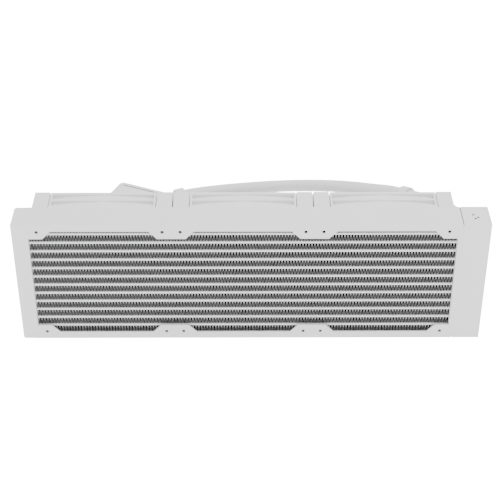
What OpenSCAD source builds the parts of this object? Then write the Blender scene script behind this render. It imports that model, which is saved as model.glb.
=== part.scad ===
// Closed-loop liquid cooler: a slim radiator with three fans, two hoses and a pump block.
// X runs along the radiator, Y through it towards the fans, and Z up. The origin is on the
// underside, at the middle of the core's length and of the radiator's thickness.

/* [Fans] */
// Width and height of one fan
fan_size = 120; // [100:1:144]
// Thickness of one fan
fan_t = 25; // [21:0.5:30]
// Number of fans side by side
fan_count = 3; // [1:1:3]
// Distance from a fan's edge to its screw holes
screw_inset = 7.5; // [7:0.1:9]
// Width of the rubber pad on each fan corner
pad_w = 14; // [12.5:0.5:16.5]
// Set-back of the pads from the fan's nominal edge
pad_inset = 0.5; // [0.3:0.1:0.8]
// Set-back of the frame's flanges from the nominal edge
flange_inset = 0.6; // [0.5:0.1:1.2]
// Set-back of the round duct from the nominal edge
duct_inset = 1.3; // [1.2:0.1:1.8]
// Width of the groove between the frame and each pad
pad_groove = 0.6; // [0.4:0.1:1]
// Set-back of the frame's side walls beside the pads
wall_bow = 2.8; // [1.5:0.1:4]
// Width of the rib that ends each side wall beside a pad
end_rib_w = 1.8; // [1:0.1:2.5]
// Wall of the round fan duct
duct_wall = 1.6; // [1.2:0.1:2.5]
// Radius of the fan's hub
hub_r = 20.5; // [18:0.5:24]
// Blades on one fan wheel
blade_count = 9; // [5:1:11]
// Pitch of the fan blades, in degrees
blade_pitch = 38; // [25:1:45]
// Chord of the fan blades
blade_chord = 22; // [16:1:26]
// Gap between the blade tips and the duct
tip_gap = 1.2; // [0.8:0.1:2]

/* [Radiator] */
// Thickness of the radiator
rad_t = 27; // [24:0.5:38]
// Length of the tank at the blind end
end_tank_l = 10.8; // [8:0.2:20]
// Length of the tank that has the hose fittings
port_tank_l = 24.2; // [22:0.2:40]
// Wall of the tanks
tank_wall = 2; // [1.5:0.1:2.5]
// Thickness of the header plates between core and tanks
header_t = 3.3; // [2:0.1:5]
// Sheet thickness of the long side channels
sheet_t = 1.2; // [0.8:0.1:1.6]
// Height of the channel lips between the tabs
lip_h = 6.9; // [6:0.1:8]
// Height of the channel lips at the screw tabs
tab_h = 14.3; // [12:0.1:18]
// Length of each corner tab
corner_tab_l = 12; // [11.5:0.5:16]
// Half the length of a tab between two fans
mid_tab_l = 12; // [11.5:0.5:16]
// Run of the slope beside each tab
tab_slope = 7; // [4:0.5:9]
// Radius of the threaded holes in the front lips
front_hole_r = 1.5; // [1.5:0.05:1.6]
// Radius of the holes in the back lips, for the fan screws
back_hole_r = 1.7; // [1.7:0.05:2]

/* [Core] */
// Depth of the core, front to back
core_d = 20; // [16:0.5:21]
// Thickness of a flat tube
tube_t = 2; // [1.6:0.1:2.4]
// Wall of a flat tube
tube_wall = 0.3; // [0.2:0.05:0.5]
// Distance from one tube to the next, before it is evened out
tube_spacing = 8.74; // [7:0.02:11]
// Distance from the radiator's edge to the fin stack
stack_margin = 4.2; // [4:0.1:6]
// Length of one fold of the fins
fin_fold = 5; // [4:0.1:8]
// Thickness of the fin sheet
fin_t = 0.16; // [0.1:0.02:0.3]

/* [Tank fittings] */
// Distance between the two hose fittings
port_spacing = 34; // [28:1:44]
// Distance from the tank's outer end to the fittings
port_inset = 13; // [11.5:0.5:16]
// Width of the seam between the header plate and the tank
seam_w = 0.6; // [0.3:0.05:0.8]
// Depth of the pressure-relief bag in the tank
bag_h = 17; // [12:0.5:18]

/* [Hoses] */
// Outer diameter of the sleeved hoses
hose_d = 12; // [11:0.2:13]
// Bore of the fittings
fitting_bore_r = 3; // [2.5:0.1:3.5]
// Outer radius of a fitting's barbed pipe
barb_r = 4.4; // [4:0.1:5]
// Outer radius of the crimped ferrules
ferrule_r = 7.6; // [7.2:0.1:8.5]
// Length of the ferrules on the radiator
ferrule_l = 15.3; // [12:0.1:18]
// Outer radius of the hose clip rings
clip_r = 8.2; // [7.8:0.1:9]
// Length of the hose clips along the hose
clip_l = 9; // [7:0.5:12]

/* [Pump] */
// Width of the square pump block
pump_w = 70; // [66:0.5:80]
// Height of the pump block
pump_h = 58; // [56:0.5:66]
// Corner radius of the pump block
pump_corner = 4; // [4:0.5:9]
// Height of the pump's hose fittings
pump_port_z = 22; // [21:0.5:23]
// Distance from the pump's centre line to each hose fitting
pump_port_x = 12; // [10:0.5:14]
// Width of the cap's rim around the top panel
rim_w = 3.7; // [3:0.1:6]
// Width of the light gap behind and beside the top panel
light_gap = 1.2; // [0.5:0.1:1.5]
// Width of the square copper plate
plate_w = 54; // [50:0.5:58]
// Thickness of the copper plate
plate_t = 3.2; // [2.5:0.1:4]
// Diameter of the circle through the bracket's screw holes
bracket_pcd = 106; // [104:0.5:120]
// Radius of the bracket's screw holes
bracket_hole_r = 2.1; // [2:0.1:2.6]
// Radius of the pump's impeller
impeller_r = 14; // [12:0.5:15]
// Radius of both bearing shafts
shaft_r = 1.5; // [1.2:0.1:2]

/* [Clearances] */
// Gap between pieces that are brazed or pressed together
braze = 0.03; // [0.02:0.01:0.05]
// Gap between neighbouring pieces that are screwed or clipped
gap = 0.3; // [0.2:0.05:0.4]
// Radial play of a shaft in its bearing
play = 0.03; // [0.02:0.01:0.05]

/* [Hidden] */

$fn = 48;
fine = 96;

white_paint = [0.88, 0.88, 0.89];
white_plastic = [0.9, 0.9, 0.91];
bare_metal = [0.72, 0.73, 0.75];
copper = [0.78, 0.45, 0.3];
black_rubber = [0.1, 0.1, 0.1];
board_green = [0.1, 0.35, 0.2];
dark_steel = [0.3, 0.3, 0.32];

// Radiator: the core is as long as the fans it carries, and as high as one of them
core_l = fan_count * fan_size;
rad_h = fan_size;
front_y = -rad_t / 2;
back_y = rad_t / 2;
hole_x = fan_size / 2 - screw_inset;
end_header_x = core_l / 2 + header_t;
port_end_x = end_header_x + port_tank_l;

// Core: the fin rows share the height that the tubes leave
stack_h = rad_h - 2 * stack_margin;
row_count = round((stack_h + tube_t) / tube_spacing);
row_pitch = (stack_h + tube_t) / row_count;
tube_count = row_count - 1;
fin_h = row_pitch - tube_t;
tube_l = core_l + 2 * header_t - 2;
side_plate_t = 1.5;
fin_rise = fin_h - 2 * braze;
fold_count = round(core_l / fin_fold);
half_fold = core_l / fold_count / 2;
fin_band = fin_t * norm([half_fold, fin_rise]) / half_fold;

// Fittings on the tank
port_x = port_end_x - port_inset;
port_z = [rad_h / 2 + port_spacing / 2, rad_h / 2 - port_spacing / 2];
fitting_flange_t = 4;
fitting_flange_r = 8.5;
spigot_r = 4.8;
tank_fitting_l = fitting_flange_t + ferrule_l + braze;
vent_r = 1;
seam_d = 0.9;
vents = [[-1.2, 0.8], [2.5, -2.8], [0.1, -4.9]];
plug_r = 3;
plug_z = 16;
plug_head_r = plug_r + 2;
plug_head_h = 1.4;
seal_h = 0.8;
bag_wall = 1;

// Fans: z is local, from the radiator side of a fan to its intake side
duct_r = fan_size / 2 - duct_inset;
duct_bore_r = duct_r - duct_wall;
wheel_r = duct_bore_r - tip_gap;
flange_t = 3.4;
frame_recess = 0.4;
rib_t = 2.4;
boss_r = 4.6;
screw_bore_r = 2.1;
screw_r = 1.5;
screw_head_r = 3;
screw_head_h = 2;
screw_l = fan_t + 3;
hub_base_t = 2.6;
hub_base_z = 0.6;
strut_w = 3.6;
bearing_r = 3;
tube_boss_r = 5;
cup_z = 4.4;
cup_wall = 1.9;
cup_top_z = fan_t - 2.5;
magnet_t = 2.2;
stator_r = hub_r - cup_wall - magnet_t - 0.8;
bearing_l = 12.6;
sleeve_l = 16;

// Pump: z is from the copper plate's face; the block lies turned behind the first fan
pump_pos = [-100, 108.4, 0];
pump_turn = -24;
foot_w = 60;
foot_top_z = 9;
body_top_z = 40;
groove_h = 1;
groove_d = 0.5;
groove_z = [45, 48, 51];
ledge_z = pump_h - 3;
panel_fit = gap / 2;
panel_w = pump_w - 2 * rim_w - light_gap - panel_fit;
panel_shift = (light_gap - panel_fit) / 2;
ring_drop = 0.3;
chamber_r = 17;
chamber_z = [13, 29];
can_flange_r = 20;
can_r = 11.5;
can_wall = 1;
can_top_z = 43;
motor_r = 27;
pump_fitting_flange_t = 3;
pump_fitting_flange_r = 7.4;
pump_fitting_l = 15;
pump_spigot_l = 6;
pocket_w = 38;
seal_groove_w = 44;
seal_w = 1.3;
plate_screw_r = 1.25;
plate_screw_head_r = 2.4;
plate_screw_head_z = 1.4;
plate_screw_at = [for (x = [-1, 1], y = [-1, 1]) [x, y] * (plate_w / 2 - 3.5)];
eye_r = 3;
inlet_drop_y = 17.5;
magnet_z = [26, 37.5];

// Hose routes, from the tank to the pump
upper_route = [
    [194.5, 33, 77], [194.5, 45, 77], [194, 58, 76.5], [191.5, 71, 74.9], [187, 84, 72.3],
    [181, 98, 68.6], [173.5, 111, 63.6], [164.5, 123, 58.9], [154.5, 134, 55.2],
    [141, 147, 51], [125, 159.5, 45.5], [107, 171, 40.8], [87, 180.5, 36.5], [65, 188, 32.3],
    [43, 192.5, 29.2], [20, 194, 27], [-2, 193.8, 25.3], [-24, 192.2, 24],
    [-42, 189.8, 23], [-53, 187.7, 22.4], [-63.8, 184.4, 22], [-75.2, 178.2, 22],
    [-84.2, 169.5, 22], [-90.6, 159, 22]
];
lower_route = [
    [194.5, 33, 43], [194.5, 45, 43], [193.5, 57, 43], [190, 70, 43], [184.5, 83, 43],
    [176.5, 96.5, 42.8], [165.5, 110.5, 42.4], [151.5, 125, 41.5], [138, 136.5, 39],
    [121.5, 147.5, 35.5], [103, 157, 32], [83, 165, 29], [62, 171, 26.5],
    [40, 175, 24.5], [18, 177.5, 22.5], [-2, 178.8, 21], [-20, 178.7, 20.5],
    [-35.6, 176.5, 20.8], [-46.6, 172.3, 21.3], [-56.3, 165.7, 21.8], [-63.4, 158, 22],
    [-68.7, 149.2, 22]
];
hose_sides = 10;
tank_clip_at = [8, 7];
pump_clip_at = [20, 19];
clip_web_t = 3;

// ---- shared shapes ----

// A tube swept along a route: a ring of points square to the route at each of its points
function unit(v) = v / norm(v);
function direction(route, i) =
    let (last = len(route) - 1)
    unit(unit(route[min(i + 1, last)] - route[i] + (i == last ? route[i] - route[i - 1] : [0, 0, 0]))
        + unit(route[i] - route[max(i - 1, 0)] + (i == 0 ? route[1] - route[0] : [0, 0, 0])));
function side_of(d) = unit(cross(d, [0, 0, 1]));
function ring_point(centre, d, r, a) =
    centre + r * cos(a) * side_of(d) + r * sin(a) * cross(side_of(d), d);

module swept_tube(route, r, sides) {
    rings = len(route);
    points = [
        for (i = [0 : rings - 1])
            for (k = [0 : sides - 1])
                ring_point(route[i], direction(route, i), r, 360 * k / sides)
    ];
    walls = [
        for (i = [0 : rings - 2])
            for (k = [0 : sides - 1])
                [
                    i * sides + k, (i + 1) * sides + k,
                    (i + 1) * sides + (k + 1) % sides, i * sides + (k + 1) % sides
                ]
    ];
    first_end = [for (k = [0 : sides - 1]) k];
    last_end = [for (k = [sides - 1 : -1 : 0]) (rings - 1) * sides + k];
    polyhedron(points, concat(walls, [first_end], [last_end]), convexity = 10);
}

// Puts z along the direction d, at a point
module along(point, d) {
    s = side_of(d);
    u = cross(s, d);
    multmatrix([
        [s[0], u[0], d[0], point[0]],
        [s[1], u[1], d[1], point[1]],
        [s[2], u[2], d[2], point[2]]
    ])
        children();
}

module rounded_square(w, r) {
    square([w - 2 * r, w], center = true);
    square([w, w - 2 * r], center = true);
    for (x = [-1, 1], y = [-1, 1])
        translate([x * (w / 2 - r), y * (w / 2 - r)])
            circle(r);
}

module rounded_block(w, r, z0, z1) {
    translate([0, 0, z0])
        linear_extrude(z1 - z0)
            rounded_square(w, r);
}

module ring(r_out, r_in, z0, z1) {
    translate([0, 0, z0])
        difference() {
            cylinder(r = r_out, h = z1 - z0);
            translate([0, 0, -1])
                cylinder(r = r_in, h = z1 - z0 + 2);
        }
}

// ---- radiator ----

// Outline of one lip: deep at the corners and between the fans, where the screws go
function lip_outline() =
    let (half = core_l / 2)
    concat(
        [[-half, 0], [-half, -tab_h], [-half + corner_tab_l, -tab_h],
            [-half + corner_tab_l + tab_slope, -lip_h]],
        [for (i = [1 : 1 : fan_count - 1])
            let (x = -half + i * fan_size)
            each [
                [x - mid_tab_l - tab_slope, -lip_h], [x - mid_tab_l, -tab_h],
                [x + mid_tab_l, -tab_h], [x + mid_tab_l + tab_slope, -lip_h]
            ]
        ],
        [[half - corner_tab_l - tab_slope, -lip_h], [half - corner_tab_l, -tab_h],
            [half, -tab_h], [half, 0]]
    );

module lip(y0, hole_r) {
    translate([0, y0 + sheet_t, rad_h])
        rotate([90, 0, 0])
            linear_extrude(sheet_t)
                difference() {
                    polygon(lip_outline());
                    for (x = screw_columns())
                        translate([x, -screw_inset])
                            circle(hole_r);
                }
}

function fan_x(i) = (i - (fan_count + 1) / 2) * fan_size;
function screw_columns() = [for (i = [1 : fan_count], s = [-1, 1]) fan_x(i) + s * hole_x];

module side_channel() {
    color(white_paint) {
        lip(front_y, front_hole_r);
        lip(back_y - sheet_t, back_hole_r);
        translate([-core_l / 2, front_y, rad_h - sheet_t])
            cube([core_l, rad_t, sheet_t]);
    }
}

module top_side_channel() {
    side_channel();
}

module bottom_side_channel() {
    translate([0, 0, rad_h])
        mirror([0, 0, 1])
            side_channel();
}

module core_side_plates() {
    color(white_paint)
        for (z = [stack_margin - braze - side_plate_t, rad_h - stack_margin + braze])
            translate([-core_l / 2 + braze, -core_d / 2, z])
                cube([core_l - 2 * braze, core_d, side_plate_t]);
}

// Flat tube section in the Y-Z plane, with round edges
module tube_section(grow) {
    t = tube_t + 2 * grow;
    square([core_d - tube_t, t], center = true);
    for (s = [-1, 1])
        translate([s * (core_d - tube_t) / 2, 0])
            circle(t / 2);
}

module along_x(x0, x1) {
    translate([x0, 0, 0])
        rotate([90, 0, 90])
            linear_extrude(x1 - x0)
                children();
}

function tube_z(i) = rad_h / 2 + (i - (tube_count + 1) / 2) * row_pitch;

module flat_tubes() {
    color(white_paint)
        for (i = [1 : tube_count])
            translate([0, 0, tube_z(i)])
                along_x(-tube_l / 2, tube_l / 2)
                    difference() {
                        tube_section(0);
                        tube_section(-tube_wall);
                    }
}

// One row of folded fin: a zigzag band, its sheet thickness measured square to the slope
function fin_points(shift) = [
    for (k = [0 : 2 * fold_count])
        [
            -core_l / 2 + braze + k * (half_fold - braze / fold_count),
            (k % 2 == 0 ? -1 : 1) * (fin_rise - fin_band) / 2 + shift
        ]
];

module fin_row() {
    upper = fin_points(fin_band / 2);
    lower = fin_points(-fin_band / 2);
    translate([0, core_d / 2, 0])
        rotate([90, 0, 0])
            linear_extrude(core_d)
                polygon(concat(upper, [for (k = [len(lower) - 1 : -1 : 0]) lower[k]]));
}

module cooling_fins() {
    color(bare_metal)
        for (i = [1 : row_count])
            translate([0, 0, rad_h / 2 + (i - (row_count + 1) / 2) * row_pitch])
                fin_row();
}

module header() {
    color(white_paint)
        difference() {
            translate([core_l / 2 + braze, front_y, 0])
                cube([header_t - braze, rad_t, rad_h]);
            for (i = [1 : tube_count])
                translate([0, 0, tube_z(i)])
                    along_x(core_l / 2 - 1, core_l / 2 + header_t + 1)
                        tube_section(braze);
        }
}

module right_header() {
    header();
}

module left_header() {
    mirror([1, 0, 0])
        header();
}

// A tank is a box that is open towards its header plate
module tank(length) {
    difference() {
        translate([end_header_x + braze, front_y, 0])
            cube([length - braze, rad_t, rad_h]);
        translate([end_header_x - 1, front_y + tank_wall, tank_wall])
            cube([length - tank_wall + 1, rad_t - 2 * tank_wall, rad_h - 2 * tank_wall]);
    }
}

module left_tank() {
    color(white_paint)
        mirror([1, 0, 0])
            tank(end_tank_l);
}

module right_tank() {
    color(white_paint)
        difference() {
            tank(port_tank_l);
            for (z = [-1, rad_h - seam_d])
                translate([end_header_x, front_y - 1, z])
                    cube([seam_w, rad_t + 2, seam_d + 1]);
            for (z = port_z)
                translate([port_x, back_y + 1, z])
                    rotate([90, 0, 0])
                        cylinder(r = spigot_r + braze, h = tank_wall + 2);
            for (v = vents)
                translate([port_x + v[0], v[1], rad_h - tank_wall - 1])
                    cylinder(r = vent_r, h = tank_wall + 2, $fn = 24);
            translate([port_x, back_y + 1, plug_z])
                rotate([90, 0, 0])
                    cylinder(r = plug_r + braze, h = tank_wall + 2);
        }
}

module tank_baffle() {
    color(white_paint)
        translate([end_header_x + braze, front_y + tank_wall + braze, rad_h / 2 - sheet_t / 2])
            cube([port_tank_l - tank_wall - 2 * braze, rad_t - 2 * (tank_wall + braze), sheet_t]);
}

// A soft bag under the vent holes, open to the air above and dry inside
module relief_bladder() {
    x0 = end_header_x + 2;
    bag_l = port_tank_l - tank_wall - 3;
    bag_w = rad_t - 2 * tank_wall - 2;
    top = rad_h - tank_wall - braze;
    color(black_rubber)
        difference() {
            translate([x0, -bag_w / 2, top - bag_h])
                cube([bag_l, bag_w, bag_h]);
            translate([x0 + bag_wall, -bag_w / 2 + bag_wall, top - bag_h + bag_wall])
                cube([bag_l - 2 * bag_wall, bag_w - 2 * bag_wall, bag_h]);
        }
}

module fill_plug() {
    color(bare_metal)
        translate([port_x, back_y, plug_z])
            rotate([-90, 0, 0])
                difference() {
                    union() {
                        translate([0, 0, seal_h + braze])
                            cylinder(r = plug_head_r, h = plug_head_h);
                        translate([0, 0, -tank_wall - 1])
                            cylinder(r = plug_r, h = tank_wall + 1 + seal_h + plug_head_h / 2);
                    }
                    translate([0, 0, seal_h])
                        cylinder(r = 2, h = plug_head_h + 1, $fn = 6);
                }
}

module fill_plug_seal() {
    color(black_rubber)
        translate([port_x, back_y, plug_z])
            rotate([-90, 0, 0])
                ring(plug_head_r - 0.4, plug_r + braze, braze, seal_h);
}

// ---- fittings and hoses ----

// A fitting along z: flange, barbed pipe and the spigot that goes through the wall
module barbed_fitting(flange_r, flange_t, length, spigot_l) {
    barb_rise = 0.5;
    barb_l = 3;
    color(bare_metal)
        difference() {
            union() {
                cylinder(r = flange_r, h = flange_t);
                cylinder(r = barb_r, h = length - 1);
                for (k = [1, 2])
                    translate([0, 0, flange_t + k * barb_l])
                        cylinder(r1 = barb_r + barb_rise, r2 = barb_r, h = barb_l);
                translate([0, 0, -spigot_l])
                    cylinder(r = spigot_r, h = spigot_l + 1);
            }
            translate([0, 0, -spigot_l - 1])
                cylinder(r = fitting_bore_r, h = spigot_l + length + 2);
        }
}

module at_tank_port(i) {
    translate([port_x, back_y + braze, port_z[i]])
        rotate([-90, 0, 0])
            children();
}

module upper_tank_fitting() {
    at_tank_port(0)
        barbed_fitting(fitting_flange_r, fitting_flange_t, tank_fitting_l, tank_wall);
}

module lower_tank_fitting() {
    at_tank_port(1)
        barbed_fitting(fitting_flange_r, fitting_flange_t, tank_fitting_l, tank_wall);
}

// A metal cup crimped over the hose's end, which it holds on the barbs
module ferrule(z0, z1) {
    color(white_paint)
        ring(ferrule_r, barb_r + 0.6, z0, z1);
}

module hose_ferrules() {
    for (i = [0, 1])
        at_tank_port(i)
            ferrule(fitting_flange_t + gap, tank_fitting_l);
    for (s = [-1, 1])
        at_pump_port(s)
            ferrule(pump_fitting_flange_t + gap, pump_fitting_l - braze);
}

module upper_hose() {
    color(white_plastic)
        swept_tube(upper_route, hose_d / 2, hose_sides);
}

module lower_hose() {
    color(white_plastic)
        swept_tube(lower_route, hose_d / 2, hose_sides);
}

// Two rings joined by a web, which keep the hoses side by side
module hose_clip(at) {
    a = upper_route[at[0]];
    b = lower_route[at[1]];
    da = direction(upper_route, at[0]);
    db = direction(lower_route, at[1]);
    bore_r = hose_d / 2 + gap;
    color(white_plastic)
        difference() {
            union() {
                along(a, da)
                    cylinder(r = clip_r, h = clip_l, center = true);
                along(b, db)
                    cylinder(r = clip_r, h = clip_l, center = true);
                clip_web(a, b, da + db);
            }
            along(a, da)
                cylinder(r = bore_r, h = 2 * clip_l, center = true);
            along(b, db)
                cylinder(r = bore_r, h = 2 * clip_l, center = true);
        }
}

// The web lies along the line from a to b, its width along the hoses
module clip_web(a, b, hose_dir) {
    x = unit(b - a);
    z = unit(cross(x, hose_dir));
    y = cross(z, x);
    mid = (a + b) / 2;
    multmatrix([
        [x[0], y[0], z[0], mid[0]],
        [x[1], y[1], z[1], mid[1]],
        [x[2], y[2], z[2], mid[2]]
    ])
        cube([norm(b - a), clip_l - 2, clip_web_t], center = true);
}

module tank_hose_clip() {
    hose_clip(tank_clip_at);
}

module pump_hose_clip() {
    hose_clip(pump_clip_at);
}

// ---- pump block ----

module at_pump() {
    translate(pump_pos)
        rotate([0, 0, pump_turn])
            children();
}

module at_pump_port(side) {
    at_pump()
        translate([side * pump_port_x, pump_w / 2 + braze, pump_port_z])
            rotate([-90, 0, 0])
                children();
}

module pump_outer_fitting() {
    at_pump_port(-1)
        barbed_fitting(pump_fitting_flange_r, pump_fitting_flange_t, pump_fitting_l - 0.2, pump_spigot_l);
}

module pump_inner_fitting() {
    at_pump_port(1)
        barbed_fitting(pump_fitting_flange_r, pump_fitting_flange_t, pump_fitting_l - 0.2, pump_spigot_l);
}

// The block holds the jet pocket over the copper plate, the impeller chamber and the motor
module pump_housing() {
    color(white_plastic)
        at_pump()
            difference() {
                union() {
                    rounded_block(foot_w, pump_corner, plate_t + braze, foot_top_z + 1);
                    rounded_block(pump_w, pump_corner, foot_top_z, body_top_z);
                }
                translate([-pocket_w / 2, -pocket_w / 2, 0])
                    cube([pocket_w, pocket_w, foot_top_z]);
                seal_ring(braze, 0, plate_t + 1.2);
                cylinder(r = eye_r, h = chamber_z[0] + 1);
                translate([0, 0, chamber_z[0]])
                    cylinder(r = chamber_r, h = chamber_z[1] - chamber_z[0] + 1);
                translate([0, 0, chamber_z[1]])
                    cylinder(r = can_flange_r + braze, h = body_top_z);
                translate([0, 0, chamber_z[1] + 2])
                    cylinder(r = motor_r, h = body_top_z, $fn = fine);
                for (s = [-1, 1])
                    port_bore(s, spigot_r + braze, pump_spigot_l + 1);
                port_bore(-1, fitting_bore_r, pump_w / 2);
                port_bore(1, fitting_bore_r, pump_w / 2 - inlet_drop_y);
                translate([pump_port_x, inlet_drop_y, plate_t])
                    cylinder(r = fitting_bore_r, h = pump_port_z - plate_t);
                for (p = plate_screw_at)
                    translate([p[0], p[1], 0])
                        cylinder(r = plate_screw_r + braze, h = plate_t + 6);
            }
}

// Level hole into the block's back face, for the outer (-1) or inner (1) fitting
module port_bore(side, r, depth) {
    translate([side * pump_port_x, pump_w / 2 + 1, pump_port_z])
        rotate([90, 0, 0])
            cylinder(r = r, h = depth + 1);
}

module seal_ring(grow, z0, z1) {
    difference() {
        rounded_block(seal_groove_w + 2 * grow, 6 + grow, z0, z1);
        rounded_block(seal_groove_w - 2 * seal_w - 2 * grow, 6 - seal_w - grow, z0 - 1, z1 + 1);
    }
}

module pump_cap() {
    cap_wall = 2;
    color(white_plastic)
        at_pump()
            difference() {
                rounded_block(pump_w, pump_corner, body_top_z + braze, pump_h);
                rounded_block(pump_w - 2 * cap_wall, pump_corner - cap_wall, body_top_z - 1, ledge_z - 2);
                rounded_block(pump_w - 2 * rim_w - 6, pump_corner - cap_wall, body_top_z, pump_h);
                rounded_block(pump_w - 2 * rim_w, pump_corner - cap_wall, ledge_z, pump_h + 1);
                for (z = groove_z)
                    translate([0, 0, z])
                        linear_extrude(groove_h)
                            difference() {
                                square(2 * pump_w, center = true);
                                rounded_square(pump_w - 2 * groove_d, pump_corner - groove_d);
                            }
            }
}

// A flat ring under the panel's edge, which rises into the light gap behind and beside it
module pump_light_ring() {
    w = pump_w - 2 * rim_w - 2 * braze;
    reach = 10;
    color([0.75, 0.75, 0.76])
        at_pump()
            difference() {
                union() {
                    rounded_block(w, pump_corner - 2 - braze, ledge_z + braze, ledge_z + 0.8);
                    difference() {
                        rounded_block(w, pump_corner - 2 - braze, ledge_z + 0.4, pump_h - ring_drop);
                        translate([-panel_shift - reach, -panel_shift - reach, 0])
                            rounded_block(panel_w + 2 * braze + 2 * reach, pump_corner - 2.5 + braze,
                                          ledge_z, pump_h + 1);
                    }
                }
                rounded_block(w - 6, pump_corner - 3, ledge_z - 1, ledge_z + 2);
            }
}

// The panel fits closely at two sides and leaves the light gap open at the other two
module pump_top_panel() {
    color(white_plastic)
        at_pump()
            translate([-panel_shift, -panel_shift, 0])
                rounded_block(panel_w, pump_corner - 2.5, ledge_z + 0.8 + braze, pump_h);
}

module cold_plate() {
    fin_count = 12;
    fin_zone = 30;
    color(copper)
        at_pump() {
            difference() {
                rounded_block(plate_w, 4, 0, plate_t);
                for (p = plate_screw_at)
                    translate([p[0], p[1], -1]) {
                        cylinder(r = plate_screw_r + 0.15, h = plate_t + 2);
                        cylinder(r = plate_screw_head_r + 0.2, h = plate_screw_head_z + 1);
                    }
            }
            for (k = [0 : fin_count - 1])
                translate([(k - fin_count / 2) * fin_zone / fin_count, -fin_zone / 2, plate_t - 0.5])
                    cube([1, fin_zone, 3]);
        }
}

module cold_plate_seal() {
    color(black_rubber)
        at_pump()
            seal_ring(0, plate_t + braze, plate_t + 1);
}

module cold_plate_screws() {
    color(dark_steel)
        at_pump()
            for (p = plate_screw_at)
                translate([p[0], p[1], 0]) {
                    cylinder_between(plate_screw_head_r, 0.3, plate_screw_head_z - braze);
                    cylinder_between(plate_screw_r, 0.4, plate_t + 5);
                }
}

// A steel frame around the block's foot, with an ear for each mounting screw
module cpu_bracket() {
    bracket_t = 2;
    ear_r = 5;
    ear_w = 9;
    color(dark_steel)
        at_pump()
            translate([0, 0, foot_top_z - gap - bracket_t])
                linear_extrude(bracket_t)
                    difference() {
                        union() {
                            rounded_square(foot_w + 8, pump_corner);
                            for (a = [45 : 90 : 315])
                                rotate(a) {
                                    translate([bracket_pcd / 2, 0])
                                        circle(ear_r);
                                    translate([foot_w / 2, -ear_w / 2])
                                        square([bracket_pcd / 2 - foot_w / 2, ear_w]);
                                }
                        }
                        rounded_square(foot_w + 2 * gap, pump_corner + gap);
                        for (a = [45 : 90 : 315])
                            rotate(a)
                                translate([bracket_pcd / 2, 0])
                                    circle(bracket_hole_r);
                    }
}

// The dry wall between coolant and motor: a flange, and a cup that stands over the magnet
module rotor_can() {
    color([0.15, 0.15, 0.16])
        at_pump()
            difference() {
                union() {
                    translate([0, 0, chamber_z[1] + braze])
                        cylinder(r = can_flange_r, h = 2);
                    cylinder_between(can_r, chamber_z[1] + 1, can_top_z);
                }
                difference() {
                    cylinder_between(can_r - can_wall, chamber_z[1] - 1, can_top_z - can_wall);
                    cylinder_between(2 * shaft_r, magnet_z[1] + gap, can_top_z);
                }
                cylinder_between(shaft_r + braze, chamber_z[1], can_top_z - can_wall);
            }
}

module cylinder_between(r, z0, z1) {
    translate([0, 0, z0])
        cylinder(r = r, h = z1 - z0);
}

module pump_stator() {
    teeth = 6;
    z0 = chamber_z[1] + 3;
    z1 = body_top_z;
    color([0.55, 0.35, 0.2])
        at_pump() {
            ring(19.5, 16.5, z0, z1);
            for (k = [0 : teeth - 1])
                rotate([0, 0, 360 * k / teeth])
                    difference() {
                        translate([can_r - 1, -2.5, z0 + 1])
                            cube([6.2, 5, z1 - z0 - 2]);
                        cylinder_between(can_r + gap, z0, z1);
                    }
        }
}

module pump_circuit_board() {
    color(board_green)
        at_pump()
            difference() {
                union() {
                    cylinder_between(26, can_top_z + gap, can_top_z + gap + 1.6);
                    translate([10, -6, can_top_z + 1])
                        cube([9, 6, 3]);
                    translate([-16, 3, can_top_z + 1])
                        cube([6, 10, 2.6]);
                }
                for (a = [30 : 120 : 270])
                    rotate([0, 0, a])
                        translate([22, 0, can_top_z])
                            cylinder(r = 1.4, h = 3);
            }
}

module pump_shaft() {
    color(bare_metal)
        at_pump()
            cylinder_between(shaft_r, chamber_z[0] + 0.6, can_top_z - can_wall - gap);
}

module pump_impeller() {
    vanes = 6;
    z0 = chamber_z[0] + 2;
    color([0.2, 0.2, 0.22])
        at_pump()
            difference() {
                union() {
                    cylinder_between(impeller_r, z0 + 6, z0 + 7.6);
                    cylinder_between(4, z0, magnet_z[0]);
                    for (k = [0 : vanes - 1])
                        rotate([0, 0, 360 * k / vanes])
                            translate([3, 0, z0 + 0.6])
                                rotate([0, 0, 24])
                                    cube([impeller_r - 5, 1.2, 6]);
                }
                cylinder_between(shaft_r + play, z0 - 1, chamber_z[1]);
            }
}

module pump_magnet() {
    color(dark_steel)
        at_pump()
            ring(can_r - can_wall - 0.6, shaft_r + play, magnet_z[0] + braze, magnet_z[1]);
}

// ---- fans ----

module at_fan(i) {
    translate([fan_x(i), back_y + braze, rad_h / 2])
        rotate([-90, 0, 0])
            children();
}

// Square plate with its corners left out for the rubber pads
module fan_plate(z0, t) {
    w = fan_size - 2 * flange_inset;
    notch = fan_size / 2 - pad_w - pad_groove;
    translate([0, 0, z0])
        linear_extrude(t) {
            square([w, 2 * notch], center = true);
            square([2 * notch, w], center = true);
        }
}

// Side walls between the flanges: nearly flush at mid side, set back towards the pads, and
// ended by a rib
module fan_walls() {
    notch = fan_size / 2 - pad_w - pad_groove;
    wall_half = duct_r - gap;
    bow_r = (notch * notch + wall_bow * wall_bow) / (2 * wall_bow);
    translate([0, 0, frame_recess + 1])
        linear_extrude(fan_t - 2 * frame_recess - 2)
            for (a = [0, 90])
                rotate(a) {
                    intersection() {
                        square([2 * notch, 2 * wall_half + 2], center = true);
                        translate([0, wall_half - bow_r])
                            circle(bow_r, $fn = 360);
                        translate([0, bow_r - wall_half])
                            circle(bow_r, $fn = 360);
                    }
                    for (side = [-1, 1])
                        translate([side * (notch - end_rib_w / 2), 0])
                            square([end_rib_w, fan_size - 2 * flange_inset - 0.2], center = true);
                }
}

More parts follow.
